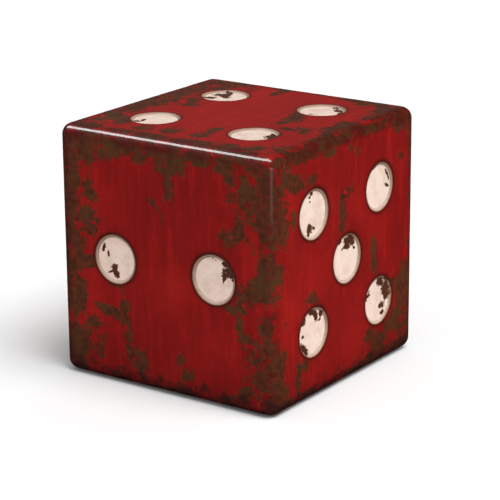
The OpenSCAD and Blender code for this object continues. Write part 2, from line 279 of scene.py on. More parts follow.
def fractal(points, size, seed, octaves=4, fall=0.55):
    """Noise of several octaves: each has half the size of the one before, and fall times its weight."""
    total = np.zeros(len(points))
    weights = [fall ** k for k in range(octaves)]
    for k, weight in enumerate(weights):
        total += weight * noise(points + OCTAVE_SHIFT * k, size / 2 ** k, seed + k)
    return total / sum(weights)


def smooth(x, low, high):
    """0 up to low, 1 from high on, and an eased rise between them."""
    t = np.clip((x - low) / (high - low), 0, 1)
    return t * t * (3 - 2 * t)


# ---- Wear ------------------------------------------


def inside(u, v, w, places):
    """How far points lie inside the nearest of some places: 1 at its middle, 0 at its rim, below 0 outside.
    u and v are measured along the face and w out of it."""
    best = np.full(len(u), FAR_OUTSIDE)
    for x, y, half_w, half_h, turn in places:
        c = math.cos(math.radians(turn))
        s = math.sin(math.radians(turn))
        a = ((u - x) * c + (v - y) * s) / half_w
        b = ((v - y) * c - (u - x) * s) / half_h
        best = np.maximum(best, 1 - np.sqrt(a * a + b * b + (w / min(half_w, half_h, WRAP)) ** 2))
    return best


def draw_sizes(draw, ranges):
    """One random number from each range."""
    return [draw.uniform(low, high) for low, high in ranges]


def random_places(seed):
    """Worn places for a face that nobody has described: many along its edges and a few inside."""
    draw = np.random.default_rng(seed)
    places = []
    for k in range(RANDOM_EDGE_PLACES):
        along = draw.uniform(-HALF, HALF)
        off = HALF - draw.uniform(0, EDGE_BAND)
        x, y = [(along, off), (along, -off), (off, along), (-off, along)][k % 4]
        places.append((x, y, *draw_sizes(draw, EDGE_PLACE)))
    for _ in range(RANDOM_INNER_PLACES):
        x, y = draw.uniform(-INNER_REACH, INNER_REACH, 2)
        places.append((x, y, *draw_sizes(draw, INNER_PLACE)))
    return places


def chips_of(name, k):
    """The chips of a pip: those listed, or a few random ones."""
    if (name, k) in CHIPPED:
        return CHIPPED[name, k]
    draw = np.random.default_rng(CHIP_SEED + 10 * list(FACES).index(name) + k)
    places = []
    for _ in range(draw.integers(*CHIP_COUNT)):
        angle = draw.uniform(0, 2 * math.pi)
        far = DISC_R * draw.uniform(*CHIP_RING)
        places.append((far * math.cos(angle), far * math.sin(angle), *draw_sizes(draw, CHIP_PLACE)))
    return places


def second_reach(points):
    """The middle one of the three distances from the cube's middle planes: near HALF only along an edge."""
    return np.sort(np.abs(points), axis=1)[:, 1]


def edge_at(points):
    """1 on the rounding of the cube's edges and 0 well inside its faces: it sets the edges' stain and their
    painted shade. The upright edge between front and right faces the light, so it counts less there."""
    # stain and painted shade of the edges, full on the rounding
    glaze = smooth(second_reach(points), *(HALF - band for band in EDGE_STAIN_SHADE_BAND))
    # less painted shade on the upright edge that faces the light
    lit_edge = smooth(points @ (X - Y), *(2 * HALF - band for band in LIT_EDGE_BAND))
    return glaze * (1 - LIT_EDGE_SHARE * lit_edge)


def rise_at(points):
    """Distance from the cube's bottom edges, up the sides or in over the bottom."""
    return points[:, 2] + 2 * HALF - np.abs(points[:, :2]).max(axis=1)


def local(points, name):
    """Points in a face's own axes: to its right, up it and out of it."""
    right, up, out, _ = FACES[name]
    return points @ right, points @ up, points @ out


def wear_at(points):
    """Above 0 where the red paint is gone. Points are measured from the cube's centre."""
    best = np.full(len(points), FAR_OUTSIDE)
    for k, name in enumerate(FACES):
        places = WORN.get(name) or random_places(PLACE_SEED + k)
        u, v, w = local(points, name)
        near = w > HALF - NEAR_FACE
        best[near] = np.maximum(best[near], inside(u[near], v[near], w[near] - HALF, places))
    ragged = fractal(points * WEAR_SQUEEZE, **WEAR_NOISE)
    return np.clip(best, *WEAR_LIMITS) + RAGGED * ragged / ragged.std()


# ---- Pockets ---------------------------------------


def pockets_of(name):
    """The pockets in a face: for each its middle, radius and depth, and the corners of the square of the
    grid that it takes up. Each pip has one, and on the bottom each glide."""
    found = []
    for spot in PIP_SPOTS[FACES[name][3]]:
        middle = np.array(spot) * PIP_OFFSET
        found.append((middle, DISC_R + POCKET_GAP, DISC_T, middle - PIP_OFFSET / 2, middle + PIP_OFFSET / 2))
    if name == "bottom":
        for corner in np.array(CORNERS):
            low, high = np.sort([corner * CELL_EDGE, corner * FLAT], axis=0)
            found.append((corner * GLIDE_OFFSET, GLIDE_R + POCKET_GAP, GLIDE_SUNK, low, high))
    return found


def rim_distance(points, name):
    """Distance of points from the rim of the nearest pocket of a face, above 0 outside it."""
    u, v, _ = local(points, name)
    return np.min([np.hypot(u - x, v - y) - radius for (x, y), radius, *_ in pockets_of(name)], axis=0)


# ---- Panel meshes ----------------------------------


def grid_lines():
    """Where the grid lines of a face lie, from one mitre to the other."""
    border = np.linspace(CELL_EDGE, FLAT, BORDER_STEPS + 1)[1:]
    arc = FLAT + EDGE_R * np.tan(np.radians(np.linspace(0, 45, ARC_STEPS + 1)[1:]))
    outside = np.concatenate([border, arc])
    cells = np.linspace(-CELL_EDGE, CELL_EDGE, 3 * CELL_STEPS + 1)
    return np.concatenate([-outside[::-1], cells, outside])


def plain_quads(lines, pockets):
    """Quads of the grid, left out where a pocket has its square."""
    a, b = np.meshgrid(lines, lines, indexing="ij")
    corners = np.stack([a, b, np.zeros_like(a)], -1)
    quads = np.stack([corners[:-1, :-1], corners[1:, :-1], corners[1:, 1:], corners[:-1, 1:]], 2)
    middle = quads.mean(2)[..., :2]
    keep = np.ones(middle.shape[:2], bool)
    for *_, low, high in pockets:
        keep &= ~((middle > low) & (middle < high)).all(-1)
    return quads[keep]


def square_ring(lines, middle, low, high):
    """The grid points round a pocket's square, anticlockwise, measured from the pocket's middle."""
    u, v = (lines[(lines > a - SAME) & (lines < b + SAME)] - m for a, b, m in zip(low, high, middle))
    sides = [(u[:-1], 0 * u[1:] + v[0]), (0 * v[1:] + u[-1], v[:-1]),
             (u[:0:-1], 0 * u[1:] + v[-1]), (0 * v[1:] + u[0], v[:0:-1])]
    return np.concatenate([np.column_stack(side) for side in sides])


def pocket_quads(lines, pocket):
    """Quads of a pocket, from its square in to its mouth, round the mouth and down its wall, and the last
    ring of points, which goes round its floor."""
    middle, mouth, depth, low, high = pocket
    square = square_ring(lines, middle, low, high)
    turn = np.arctan2(square[:, 1], square[:, 0])
    round_way = np.stack([np.cos(turn), np.sin(turn)], 1)
    rings = []
    for share in RING_SHARES:
        rings.append((share * square + (1 - share) * (mouth + RIM_ROUND) * round_way, 0))
    for angle in np.radians(MOUTH_ANGLES):
        radius = mouth + RIM_ROUND * (1 - math.sin(angle))
        rings.append((radius * round_way, RIM_ROUND * (1 - math.cos(angle))))
    rings.append((mouth * round_way, depth))
    rings = np.array([np.column_stack([ring + middle, np.full(len(ring), down)]) for ring, down in rings])
    after = np.roll(rings, -1, axis=1)
    quads = np.stack([rings[:-1], after[:-1], after[1:], rings[1:]], 2).reshape(-1, 4, 3)
    return quads, rings[-1]


def weld(corners):
    """Merges equal corners: the distinct points, and each polygon as indices."""
    flat = corners.reshape(-1, 3)
    _, first, index = np.unique(np.round(flat, WELD_DIGITS), axis=0, return_index=True, return_inverse=True)
    return flat[first], index.reshape(corners.shape[:-1])


def on_surface(grid):
    """Points and normals on the rounded cube, in a face's own axes, for grid points (a, b, depth)."""
    spot = np.column_stack([grid[:, :2], np.full(len(grid), HALF)])
    core = np.clip(spot, -FLAT, FLAT)
    normal = spot - core
    normal /= np.linalg.norm(normal, axis=1)[:, None]
    return core + EDGE_R * normal - grid[:, 2:] * Z, normal


def relief(points, name, wear):
    """How far the surface stands back from the true cube: slow waves, bare places and grain in them."""
    calm = smooth(rim_distance(points, name), *CALM_BAND)
    waves = 0.5 + 0.5 * fractal(points, **WAVE_NOISE)
    bare = smooth(wear, *BARE_BAND)
    grain = 0.5 + 0.5 * fractal(points * GRAIN_SQUEEZE, **GRAIN_NOISE)
    level = 1 - LEVELLED * smooth(second_reach(points), *(FLAT + band for band in LEVEL_BAND))
    return WOBBLE * waves * calm + PAINT * bare * (0.35 + 0.65 * calm) * (0.8 + 0.5 * grain) * level


def panel_skin(name):
    """A panel's outer surface: its grid, its points from the cube's centre, its quads, its wear, the loops
    round its pockets' floors, and the matrix from the face's own axes to the cube's."""
    lines, pockets = grid_lines(), pockets_of(name)
    quads, loops = [plain_quads(lines, pockets)], []
    for pocket in pockets:
        ring_quads, loop = pocket_quads(lines, pocket)
        quads.append(ring_quads)
        loops.append(loop)
    grid, index = weld(np.concatenate(quads))
    turn = np.stack(FACES[name][:3])
    points, normal = on_surface(grid)
    points, normal = points @ turn, normal @ turn
    wear = wear_at(points)
    points = points - normal * relief(points, name, wear)[:, None] * (grid[:, 2] == 0)[:, None]
    lookup = {tuple(key): k for k, key in enumerate(np.round(grid, WELD_DIGITS))}
    floors = [[lookup[tuple(key)] for key in np.round(loop, WELD_DIGITS)] for loop in loops]
    return {"grid": grid, "points": points, "quads": index, "wear": wear, "floors": floors, "turn": turn}


def unit(vectors):
    """Vectors brought to length 1, and left at 0 where they are 0."""
    return vectors / (np.linalg.norm(vectors, axis=1)[:, None] + 1e-12)


def vertex_normals(skins):
    """Normals of all panels' outer surfaces taken as one, so that no mitre shows as a crease."""
    points = np.concatenate([s["points"] for s in skins.values()])
    starts = np.cumsum([0] + [len(s["points"]) for s in skins.values()])
    quads = np.concatenate([s["quads"] + k for s, k in zip(skins.values(), starts)])
    across = points[quads[:, 2]] - points[quads[:, 0]]
    along = points[quads[:, 3]] - points[quads[:, 1]]
    area = np.cross(across, along)
    _, shared = np.unique(np.round(points, SEAM_DIGITS), axis=0, return_inverse=True)
    shared = shared.ravel()
    total = np.zeros((shared.max() + 1, 3))
    for k in range(4):
        np.add.at(total, shared[quads[:, k]], area)
    normals = unit(total)[shared]
    return {name: normals[a:b] for name, a, b in zip(skins, starts[:-1], starts[1:])}


def mitre_faces(skin):
    """What closes a panel behind its skin: the four corners of its inner face, which come after the skin's
    points, and the faces, which are the inner face and a mitred face along each edge."""
    grid, limit = skin["grid"], np.abs(skin["grid"][:, :2]).max()
    inner = HALF - PANEL_T
    first = len(skin["points"])
    corners = np.array([(-inner, -inner, inner), (inner, -inner, inner),
                        (inner, inner, inner), (-inner, inner, inner)]) @ skin["turn"]
    faces = [[first + 3, first + 2, first + 1, first]]
    # Each edge: the axis that is fixed along it, on which side, the axis it runs along and which way
    sides = [(1, -1, 0, 1), (0, 1, 1, 1), (1, 1, 0, -1), (0, -1, 1, -1)]
    for k, (fixed, sign, run, way) in enumerate(sides):
        edge = np.flatnonzero(np.isclose(grid[:, fixed], sign * limit))
        edge = edge[np.argsort(way * grid[edge, run])]
        faces.append([first + k, first + (k + 1) % 4] + list(edge[::-1]))
    return corners, faces


def make_mesh(name, points, faces, smooth_count, normals, attributes):
    """A mesh object in metres. The first smooth_count faces shade with the given normals, the rest flat."""
    mesh = bpy.data.meshes.new(name)
    mesh.from_pydata((points * MM + np.array(MID) * MM).tolist(), [], [list(map(int, f)) for f in faces])
    mesh.update()
    loops = np.zeros(len(mesh.loops), int)
    mesh.loops.foreach_get("vertex_index", loops)
    normals = np.concatenate([normals, np.zeros((len(points) - len(normals), 3))])
    loop_normals = normals[loops]
    for face in mesh.polygons[smooth_count:]:
        loop_normals[face.loop_start:face.loop_start + face.loop_total] = face.normal
    mesh.normals_split_custom_set(loop_normals.tolist())
    for key, values in attributes.items():
        values = np.concatenate([values, np.zeros(len(points) - len(values))])
        mesh.attributes.new(key, "FLOAT", "POINT").data.foreach_set("value", values.astype(np.float32))
    made = bpy.data.objects.new(name, mesh)
    bpy.context.scene.collection.objects.link(made)
    return made


def panel_attributes(name, skin):
    """What the paint reads from a panel's mesh: wear, distance from the nearest pocket's rim in mm (with
    the depth below the face added), edge, and height above the bottom edges in metres."""
    points = skin["points"]
    rim = rim_distance(points, name) + skin["grid"][:, 2]
    return {"wear": skin["wear"], "rim": rim, "edge": edge_at(points), "rise": rise_at(points) * MM}


def make_panels():
    """The six panels by name, each a closed piece."""
    skins = {name: panel_skin(name) for name in FACES}
    normals = vertex_normals(skins)
    panels = {}
    for name, skin in skins.items():
        corners, back = mitre_faces(skin)
        points = np.concatenate([skin["points"], corners])
        faces = list(skin["quads"]) + skin["floors"] + back
        panels[name] = make_mesh(name + "_board", points, faces, len(skin["quads"]), normals[name],
                                 panel_attributes(name, skin))
    return panels


# ---- Pip meshes ------------------------------------


def disc_profile():
    """Radius and height of each ring of a disc, from its middle out over the rim and down to its back."""
    floor_r = DISC_R - PIP_RIM - PIP_SLOPE
    across, down = DISC_ROUND
    rings = [(r, -PIP_DEPTH) for r in np.linspace(0, floor_r, FLOOR_STEPS + 1)[1:-1]]
    rings += [(floor_r + out, -PIP_DEPTH + up) for out, up in FLOOR_GROOVE]
    rings += [(floor_r + PIP_SLOPE * t, -PIP_DEPTH * (1 - t)) for t in WALL_SHARES]
    rings += [(DISC_R - across, 0.0), (DISC_R, -down), (DISC_R, -DISC_T)]
    return np.array(rings)


def disc_points():
    """A disc's points, as right, up and height from its middle: its rings, and last its floor's middle."""
    profile = disc_profile()
    turn = np.arange(PIP_TURNS) * 2 * math.pi / PIP_TURNS
    u = np.outer(profile[:, 0], np.cos(turn)).ravel()
    v = np.outer(profile[:, 0], np.sin(turn)).ravel()
    height = np.repeat(profile[:, 1], PIP_TURNS)
    return np.append(u, 0), np.append(v, 0), np.append(height, -PIP_DEPTH)


def disc_faces():
    """A disc's faces without its back, and the loop of points round its back."""
    middle = len(disc_profile()) * PIP_TURNS
    rings = np.arange(middle).reshape(-1, PIP_TURNS)
    after = np.roll(rings, -1, axis=1)
    faces = np.stack([rings[:-1], rings[1:], after[1:], after[:-1]], -1).reshape(-1, 4).tolist()
    faces += [[middle, int(a), int(b)] for a, b in zip(rings[0], after[0])]
    return faces, rings[-1][::-1].tolist()


def disc_skin(name, k, spot):
    """One disc of a face: its points from the cube's centre and what the paint reads from its mesh, which
    are wear, slope (0 at the foot of the wall and 1 at its top) and upper_shade (how far up an upright pip,
    which sets how strong the painted shade in its dish is)."""
    right, up, out, _ = FACES[name]
    u, v, height = disc_points()
    radius = np.hypot(u, v)
    centre = np.array(spot) * PIP_OFFSET
    points = np.column_stack([u + centre[0], v + centre[1], height + HALF])
    ragged = fractal(points + DISC_SHIFT * k, seed=CHIP_NOISE_SEED + list(FACES).index(name), **CHIP_NOISE)
    chip = np.clip(inside(u, v, np.zeros(len(u)), chips_of(name, k)), *CHIP_LIMITS)
    chip = chip + CHIP_RAGGED * ragged / ragged.std()
    slope = np.clip((radius - DISC_R + PIP_RIM) / PIP_SLOPE + 1, -1, 1.1)
    # how far up an upright pip: it makes the painted shade in the dish darker towards the top, as under
    # light from above
    upper_shade = (v if abs(up[2]) else 0 * v) / DISC_R
    brushed = BRUSH_DEPTH * fractal(points, **BRUSH_NOISE)
    sink = (CHIP * smooth(chip, *CHIP_BAND) + IVORY_SUNK + brushed) * (radius < DISC_R - UNSUNK_RIM)
    points[:, 2] -= np.where(height > -DISC_T, sink, 0)
    return {"points": points @ np.stack([right, up, out]), "wear": chip, "slope": slope, "upper_shade": upper_shade}


def smooth_normals(points, faces):
    """Normals at points, shared by all the faces that meet there."""
    total = np.zeros_like(points)
    for face in faces:
        corner = points[face]
        total[face] += np.cross(corner[2] - corner[0], corner[-1] - corner[1])
    return unit(total)


def make_pips(name):
    """All discs of a face as one piece of separate shells."""
    discs = [disc_skin(name, k, spot) for k, spot in enumerate(PIP_SPOTS[FACES[name][3]])]
    joined = {key: np.concatenate([disc[key] for disc in discs]) for key in discs[0]}
    points = joined.pop("points")
    one_disc, one_back = disc_faces()
    starts = range(0, len(points), len(discs[0]["points"]))
    faces = [[corner + start for corner in face] for start in starts for face in one_disc]
    backs = [[corner + start for corner in one_back] for start in starts]
    normals = smooth_normals(points, faces)
    return make_mesh(name + "_discs", points, faces + backs, len(faces), normals, joined)


# ---- Materials -------------------------------------

# Noise scales are per metre here, and bump distances in metres


class Material:
    """A node material in the making: each call adds a node and returns its output."""

    def __init__(self, name, roughness=0.5, **uniform):
        self.data = bpy.data.materials.new(name)
        self.data.use_nodes = True
        self.tree = self.data.node_tree
        self.shader = self.tree.nodes["Principled BSDF"]
        self.shader.inputs["Roughness"].default_value = roughness
        for key, value in uniform.items():
            self.shader.inputs[key.replace("_", " ")].default_value = value
        self.place = self.node("ShaderNodeTexCoord").outputs["Object"]

    def node(self, kind, inputs=(), **settings):
        made = self.tree.nodes.new(kind)
        for key, value in settings.items():
            setattr(made, key, value)
        for key, value in dict(inputs).items():
            self.put(made.inputs[key], value)
        return made

    def put(self, socket, value):
        if isinstance(value, bpy.types.NodeSocket):
            self.tree.links.new(value, socket)
        else:
            socket.default_value = value

    def attribute(self, name):
        return self.node("ShaderNodeAttribute", attribute_name=name).outputs["Fac"]

    def stretch(self, x, y, z):
        return self.node("ShaderNodeMapping", {"Vector": self.place, "Scale": (x, y, z)}).outputs["Vector"]

    def noise(self, scale, place=None, detail=4.0, roughness=0.55, distortion=0.0):
        return self.node("ShaderNodeTexNoise", {
            "Vector": place or self.place, "Scale": scale, "Detail": detail, "Roughness": roughness,
            "Distortion": distortion}).outputs["Fac"]

    def math(self, operation, a, b=0.0):
        return self.node("ShaderNodeMath", {0: a, 1: b}, operation=operation).outputs[0]

    def times(self, a, b):
        return self.math("MULTIPLY", a, b)

    def plus(self, a, b, share):
        """a plus a share of b."""
        return self.math("ADD", a, self.times(b, share))

    def span(self, value, low, high, to_low=0.0, to_high=1.0):
        """Maps value from low..high to to_low..to_high, smoothly and within them."""
        return self.node("ShaderNodeMapRange", {"Value": value, "From Min": low, "From Max": high,
                                                "To Min": to_low, "To Max": to_high},
                         interpolation_type="SMOOTHSTEP").outputs["Result"]

    def mix(self, share, a, b, blend="MIX"):
        made = self.node("ShaderNodeMix", data_type="RGBA", blend_type=blend)
        for key, value in ((0, share), (6, a), (7, b)):
            self.put(made.inputs[key], value)
        return made.outputs[2]

    def tint(self, share, color, by):
        """A colour, brought by a share towards its product with another."""
        return self.mix(share, color, self.mix(1.0, color, by, "MULTIPLY"))

    def bump(self, height, distance, strength=1.0, under=None):
        inputs = {"Height": height, "Distance": distance, "Strength": strength}
        if under:
            inputs["Normal"] = under
        return self.node("ShaderNodeBump", inputs).outputs["Normal"]

    def finish(self, color, roughness=None, normal=None):
        self.put(self.shader.inputs["Base Color"], color)
        if roughness:
            self.put(self.shader.inputs["Roughness"], roughness)
        if normal:
            self.put(self.shader.inputs["Normal"], normal)
        return self.data


def rgb(r, g, b):
    """An opaque colour, from linear values."""
    return (r, g, b, 1.0)


RED = rgb(0.30, 0.0058, 0.0040)
RED_DARK = rgb(0.195, 0.0040, 0.0032)
RED_BRIGHT = rgb(0.42, 0.0095, 0.0065)
# Paler, greyer red: a painted sheen of the bright surroundings
RED_SHEEN = rgb(0.48, 0.017, 0.011)
RED_BURNT = rgb(0.070, 0.008, 0.0055)
RED_STAIN = rgb(0.105, 0.0065, 0.0050)
BROWN = rgb(0.112, 0.0285, 0.0095)
BROWN_DARK = rgb(0.062, 0.0165, 0.0065)
BROWN_OLIVE = rgb(0.090, 0.0345, 0.0100)
IVORY = rgb(0.90, 0.715, 0.615)
IVORY_SHADE = rgb(0.76, 0.56, 0.455)
# Tan and dark colours of a pip's dish: partly glaze, partly painted shade
TAN = rgb(0.30, 0.155, 0.09)
# Nearly black painted shade along the bottom edges
LOW_SHADE_DARK = rgb(0.030, 0.0085, 0.0065)
GLAZE_AND_SHADE = rgb(0.050, 0.0165, 0.0095)
GLAZE_RED = rgb(0.072, 0.0065, 0.0035)
# Painted shade along the rounded edges
EDGE_SHADE_TINT = rgb(0.45, 0.42, 0.42)
# Soft painted shade towards the bottom
LOW_SHADE_TINT = rgb(0.5, 0.5, 0.5)
FIR_PALE = rgb(0.62, 0.42, 0.22)
FIR_DARK = rgb(0.47, 0.28, 0.13)
BEECH_PALE = rgb(0.55, 0.35, 0.20)
BEECH_DARK = rgb(0.44, 0.25, 0.13)
ZINC = rgb(0.62, 0.62, 0.58)
ZINC_DULL = rgb(0.44, 0.42, 0.36)
NYLON = rgb(0.052, 0.042, 0.036)
NYLON_SCUFFED = rgb(0.12, 0.105, 0.095)
FLOOR_WHITE = rgb(0.95, 0.95, 0.95)
FLOOR_GREY = rgb(0.93, 0.93, 0.93)

# Brush marks run upright on the sides, and front to back on the top and bottom
UPRIGHT_STREAK = (1.0, 1.0, 0.07)
LEVEL_STREAK = (1.0, 0.08, 1.0)
WOOD_SQUEEZE = 0.06           # along the grain of bare wood


def bare_wood(m):
    """The dark brown under the paint, as a colour."""
    blotch = m.noise(85, detail=6, roughness=0.7)
    brown = m.mix(m.span(blotch, 0.36, 0.62), BROWN_DARK, BROWN)
    return m.mix(m.span(m.noise(16, detail=3), 0.5, 0.72), brown, BROWN_OLIVE)


def eased(streak, share):
    """A squeeze along each axis, eased off by a share: 0 leaves it as it is and 1 takes it all away."""
    return [share + (1 - share) * s for s in streak]


def ragged_wear(m):
    """The mesh's wear, with fine veins of wear added and its outlines broken up."""
    vein = m.math("ABSOLUTE", m.math("SUBTRACT", m.noise(48, detail=4, roughness=0.6), 0.5))
    wear = m.math("ADD", m.attribute("wear"), m.span(vein, 0, 0.045, 0.42, 0))
    crumbs = m.noise(120, detail=5, roughness=0.68)
    return m.math("ADD", wear, m.span(crumbs, 0.25, 0.75, -0.62, 0.50))


def brushed_red(m, streak, brush, cloud, fine):
    """Red with brush marks, dark sweeps, dark and bright stripes, bright clouds and a fine dark grain."""
    red = m.mix(m.span(brush, 0.25, 0.8), RED_DARK, RED)
    sweep = m.noise(26, m.stretch(*eased(streak, 0.3)), detail=5, roughness=0.68, distortion=0.4)
    red = m.mix(m.span(sweep, 0.5, 0.72, 0, 0.6), red, RED_DARK)
    stripe = m.noise(62, m.stretch(*eased(streak, 0.03)), detail=3, roughness=0.6)
    red = m.mix(m.span(stripe, 0.42, 0.68, 0, 0.6), red, RED_DARK)
    red = m.mix(m.span(stripe, 0.46, 0.30, 0, 0.4), red, RED_BRIGHT)
    red = m.mix(m.span(cloud, 0.42, 0.75, 0, 0.5), red, RED_BRIGHT)
    return m.mix(m.span(fine, 0.5, 0.75, 0, 0.5), red, RED_DARK)


def aged_red(m, red, streak, wear):
    """The red with dark pits, and close to bare places with bright flecks, dark scratches and a dark rim."""
    pits = m.noise(300, detail=3, roughness=0.7)
    red = m.mix(m.span(pits, 0.64, 0.72, 0, 0.5), red, RED_BURNT)
    near = m.span(wear, -0.75, -0.12)
    fleck = m.span(m.noise(75, detail=5, roughness=0.7), 0.52, 0.66)
    red = m.mix(m.times(near, fleck), red, RED_BRIGHT)
    marks = m.noise(120, m.stretch(*streak), detail=6, roughness=0.75, distortion=0.6)
    scratch = m.span(marks, 0.56, 0.68)
    red = m.mix(m.times(m.times(near, scratch), 0.8), red, RED_BURNT)
    return m.mix(m.span(wear, -0.09, -0.02, 0, 0.7), red, RED_BURNT)


def stained_edges(m, color):
    """Blotches of dark red glaze near the cube's edges, over paint and bare wood alike."""
    stain = m.span(m.noise(34, detail=7, roughness=0.74), 0.48, 0.56, 0, 0.85)
    near_edge = m.span(m.attribute("edge"), 0.02, 0.5)
    return m.mix(m.times(near_edge, stain), color, RED_STAIN)


def pocket_glaze(m, color, ring):
    """Dark red glaze round a pocket: a soft ragged ring as strong as ring says, and a line at the rim."""
    rim = m.attribute("rim")
    ragged = m.plus(rim, m.noise(38, detail=5, roughness=0.65), -7)
    color = m.mix(m.span(ragged, 5.5, -2.5, 0, ring), color, GLAZE_RED)
    return m.mix(m.span(rim, 2.0, 0.2, 0, 0.9), color, GLAZE_RED)


def shaded_edges(m, color, cloud):
    """Painted shade all along the cube's rounded edges, cloudy in its strength."""
    return m.tint(m.times(m.attribute("edge"), m.span(cloud, 0.3, 0.7, 0.35, 0.8)), color, EDGE_SHADE_TINT)


def low_shade(m, color, cloud):
    """Painted shade near the cube's bottom edges: a soft darkening, and a nearly black ragged fringe."""
    rise = m.attribute("rise")
    fringe = m.noise(42, detail=6, roughness=0.7)
    low = m.plus(rise, m.math("ADD", cloud, fringe), -0.03)
    color = m.tint(m.span(low, 0.10, -0.03, 0, 0.45), color, LOW_SHADE_TINT)
    dark_reach = m.plus(rise, fringe, -0.16)
    return m.mix(m.span(dark_reach, -0.048, -0.072, 0, 0.9), color, LOW_SHADE_DARK)


def red_paint(name, streak, sheen_share, ring):
    """Brushed red paint, worn through to brown where the mesh says so, under a satin lacquer.
    streak is the squeeze along each axis that draws the brush marks out, sheen_share how much paler painted
    sheen lies over the red, and ring how much glaze is left in the red round the pips."""
    m = Material(name, Coat_Weight=0.45, Coat_Roughness=0.06, Specular_IOR_Level=0.06)
    brush = m.noise(210, m.stretch(*streak), detail=5, roughness=0.65)
    cloud = m.noise(7.5, detail=4, roughness=0.6)
    fine = m.noise(330, detail=3, roughness=0.6)
    wear = ragged_wear(m)
    # a painted sheen pales the red on the level faces
    red = m.mix(sheen_share, brushed_red(m, streak, brush, cloud, fine), RED_SHEEN)
    worn = m.span(wear, -0.025, 0.025)
    color = m.mix(worn, aged_red(m, red, streak, wear), bare_wood(m))
    color = pocket_glaze(m, stained_edges(m, color), ring)
    # painted shade along the edges and towards the bottom
    color = low_shade(m, shaded_edges(m, color, cloud), cloud)
    rough = m.plus(m.span(worn, 0, 1, 0.36, 0.5), fine, 0.12)
    step = m.bump(m.times(worn, -1.0), 0.0002, 0.6)
    marks = m.plus(m.times(brush, 0.6), fine, 0.4)
    return m.finish(color, rough, m.bump(marks, 0.00025, 0.35, step))


def dish_glaze_and_shade(m, ivory, grain):
    """The ivory with tan up the wall of the dish, and dark colour in its corner and along its rim: partly
    glaze, partly painted shade of the recess. All of it is stronger towards the top of an upright pip, as
    painted shade under light from above."""
    slope = m.attribute("slope")
    upper_shade = m.plus(m.times(m.attribute("upper_shade"), 0.45), grain, 0.5)
    ivory = m.mix(m.span(m.math("ADD", slope, upper_shade), -0.5, 1.0, 0, 0.9), ivory, TAN)
    corner = m.span(m.math("ABSOLUTE", slope), 0.22, 0.03, 0, 0.8)
    ivory = m.mix(m.times(corner, m.span(upper_shade, -0.4, 0.5, 0.3, 1)), ivory, GLAZE_AND_SHADE)
    return m.mix(m.span(m.plus(slope, upper_shade, 0.4), 0.85, 1.2), ivory, GLAZE_AND_SHADE)


def ivory_paint():
    """Ivory paint, chipped down to brown, with dark glaze and painted shade in the dish."""
    m = Material("ivory_paint", Coat_Weight=0.16, Coat_Roughness=0.16, Specular_IOR_Level=0.15)
    grain = m.noise(150, detail=5, roughness=0.6)
    crumbs = m.noise(260, detail=4, roughness=0.7)
    wear = m.math("ADD", m.attribute("wear"), m.span(crumbs, 0.25, 0.75, -0.34, 0.30))
    ivory = m.mix(m.span(m.noise(45, detail=4), 0.35, 0.75), IVORY, IVORY_SHADE)
    ivory = m.mix(m.span(grain, 0.3, 0.75, 0, 0.35), ivory, IVORY_SHADE)
    worn = m.span(wear, -0.03, 0.03)
    color = m.mix(worn, dish_glaze_and_shade(m, ivory, grain), bare_wood(m))
    rough = m.plus(m.span(worn, 0, 1, 0.4, 0.52), grain, 0.1)
    step = m.bump(m.times(worn, -1.0), 0.0003, 0.7)
    return m.finish(color, rough, m.bump(grain, 0.0002, 0.3, step))


def plain_wood(name, pale, dark, grain_way, scale=1.0):
    """Unfinished wood with its grain drawn out along one axis. A higher scale makes the grain finer."""
    m = Material(name, Specular_IOR_Level=0.3)
    along = m.stretch(*[WOOD_SQUEEZE if axis == grain_way else 1.0 for axis in "xyz"])
    rings = m.noise(60 * scale, along, detail=6, roughness=0.65, distortion=0.8)
    pores = m.noise(420 * scale, along, detail=4, roughness=0.7)
    color = m.mix(m.span(rings, 0.35, 0.65), pale, dark)
    color = m.mix(m.span(pores, 0.58, 0.75, 0, 0.5), color, rgb(*[c * 0.5 for c in dark[:3]]))
    rough = m.span(pores, 0.3, 0.7, 0.62, 0.8)
    return m.finish(color, rough, m.bump(pores, 0.0002, 0.5, m.bump(rings, 0.0003, 0.3)))


def zinc_steel():
    """Zinc-plated steel: fine spangle in its gloss, and dull smears."""
    m = Material("zinc_steel", Metallic=1.0)
    spangle = m.noise(900, detail=4, roughness=0.6)
    smear = m.noise(160, detail=5, roughness=0.65)
    color = m.mix(m.span(smear, 0.35, 0.7), ZINC, ZINC_DULL)
    rough = m.span(spangle, 0.3, 0.7, 0.26, 0.42)
    return m.finish(color, rough, m.bump(spangle, 0.00008, 0.4))


def nylon():
    """Dark moulded nylon with paler scuffs."""
    m = Material("nylon", Specular_IOR_Level=0.4)
    scuff = m.noise(260, detail=6, roughness=0.7)
    color = m.mix(m.span(scuff, 0.45, 0.72), NYLON, NYLON_SCUFFED)
    rough = m.span(scuff, 0.3, 0.7, 0.45, 0.68)
    return m.finish(color, rough, m.bump(scuff, 0.0001, 0.5))


# ---- Dressing --------------------------------------


def dress_cube():
    """Puts the fine panels and discs in place of the plain ones."""
    upright = red_paint("red_paint_upright", UPRIGHT_STREAK, sheen_share=0.0, ring=0.85)
    # the top and bottom get a paler painted sheen
    level = red_paint("red_paint_level", LEVEL_STREAK, sheen_share=0.32, ring=0.35)
    ivory = ivory_paint()
    for name, board in make_panels().items():
        board.data.materials.append(level if name in ("top", "bottom") else upright)
        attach(board, "root")
        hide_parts(name + "_panel")
        discs = make_pips(name)
        discs.data.materials.append(ivory)
        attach(discs, "root")
        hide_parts(name + "_pips")


def paint_node(name, material):
    """Gives a CAD node one material all over."""
    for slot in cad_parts[name].material_slots:
        slot.material = material


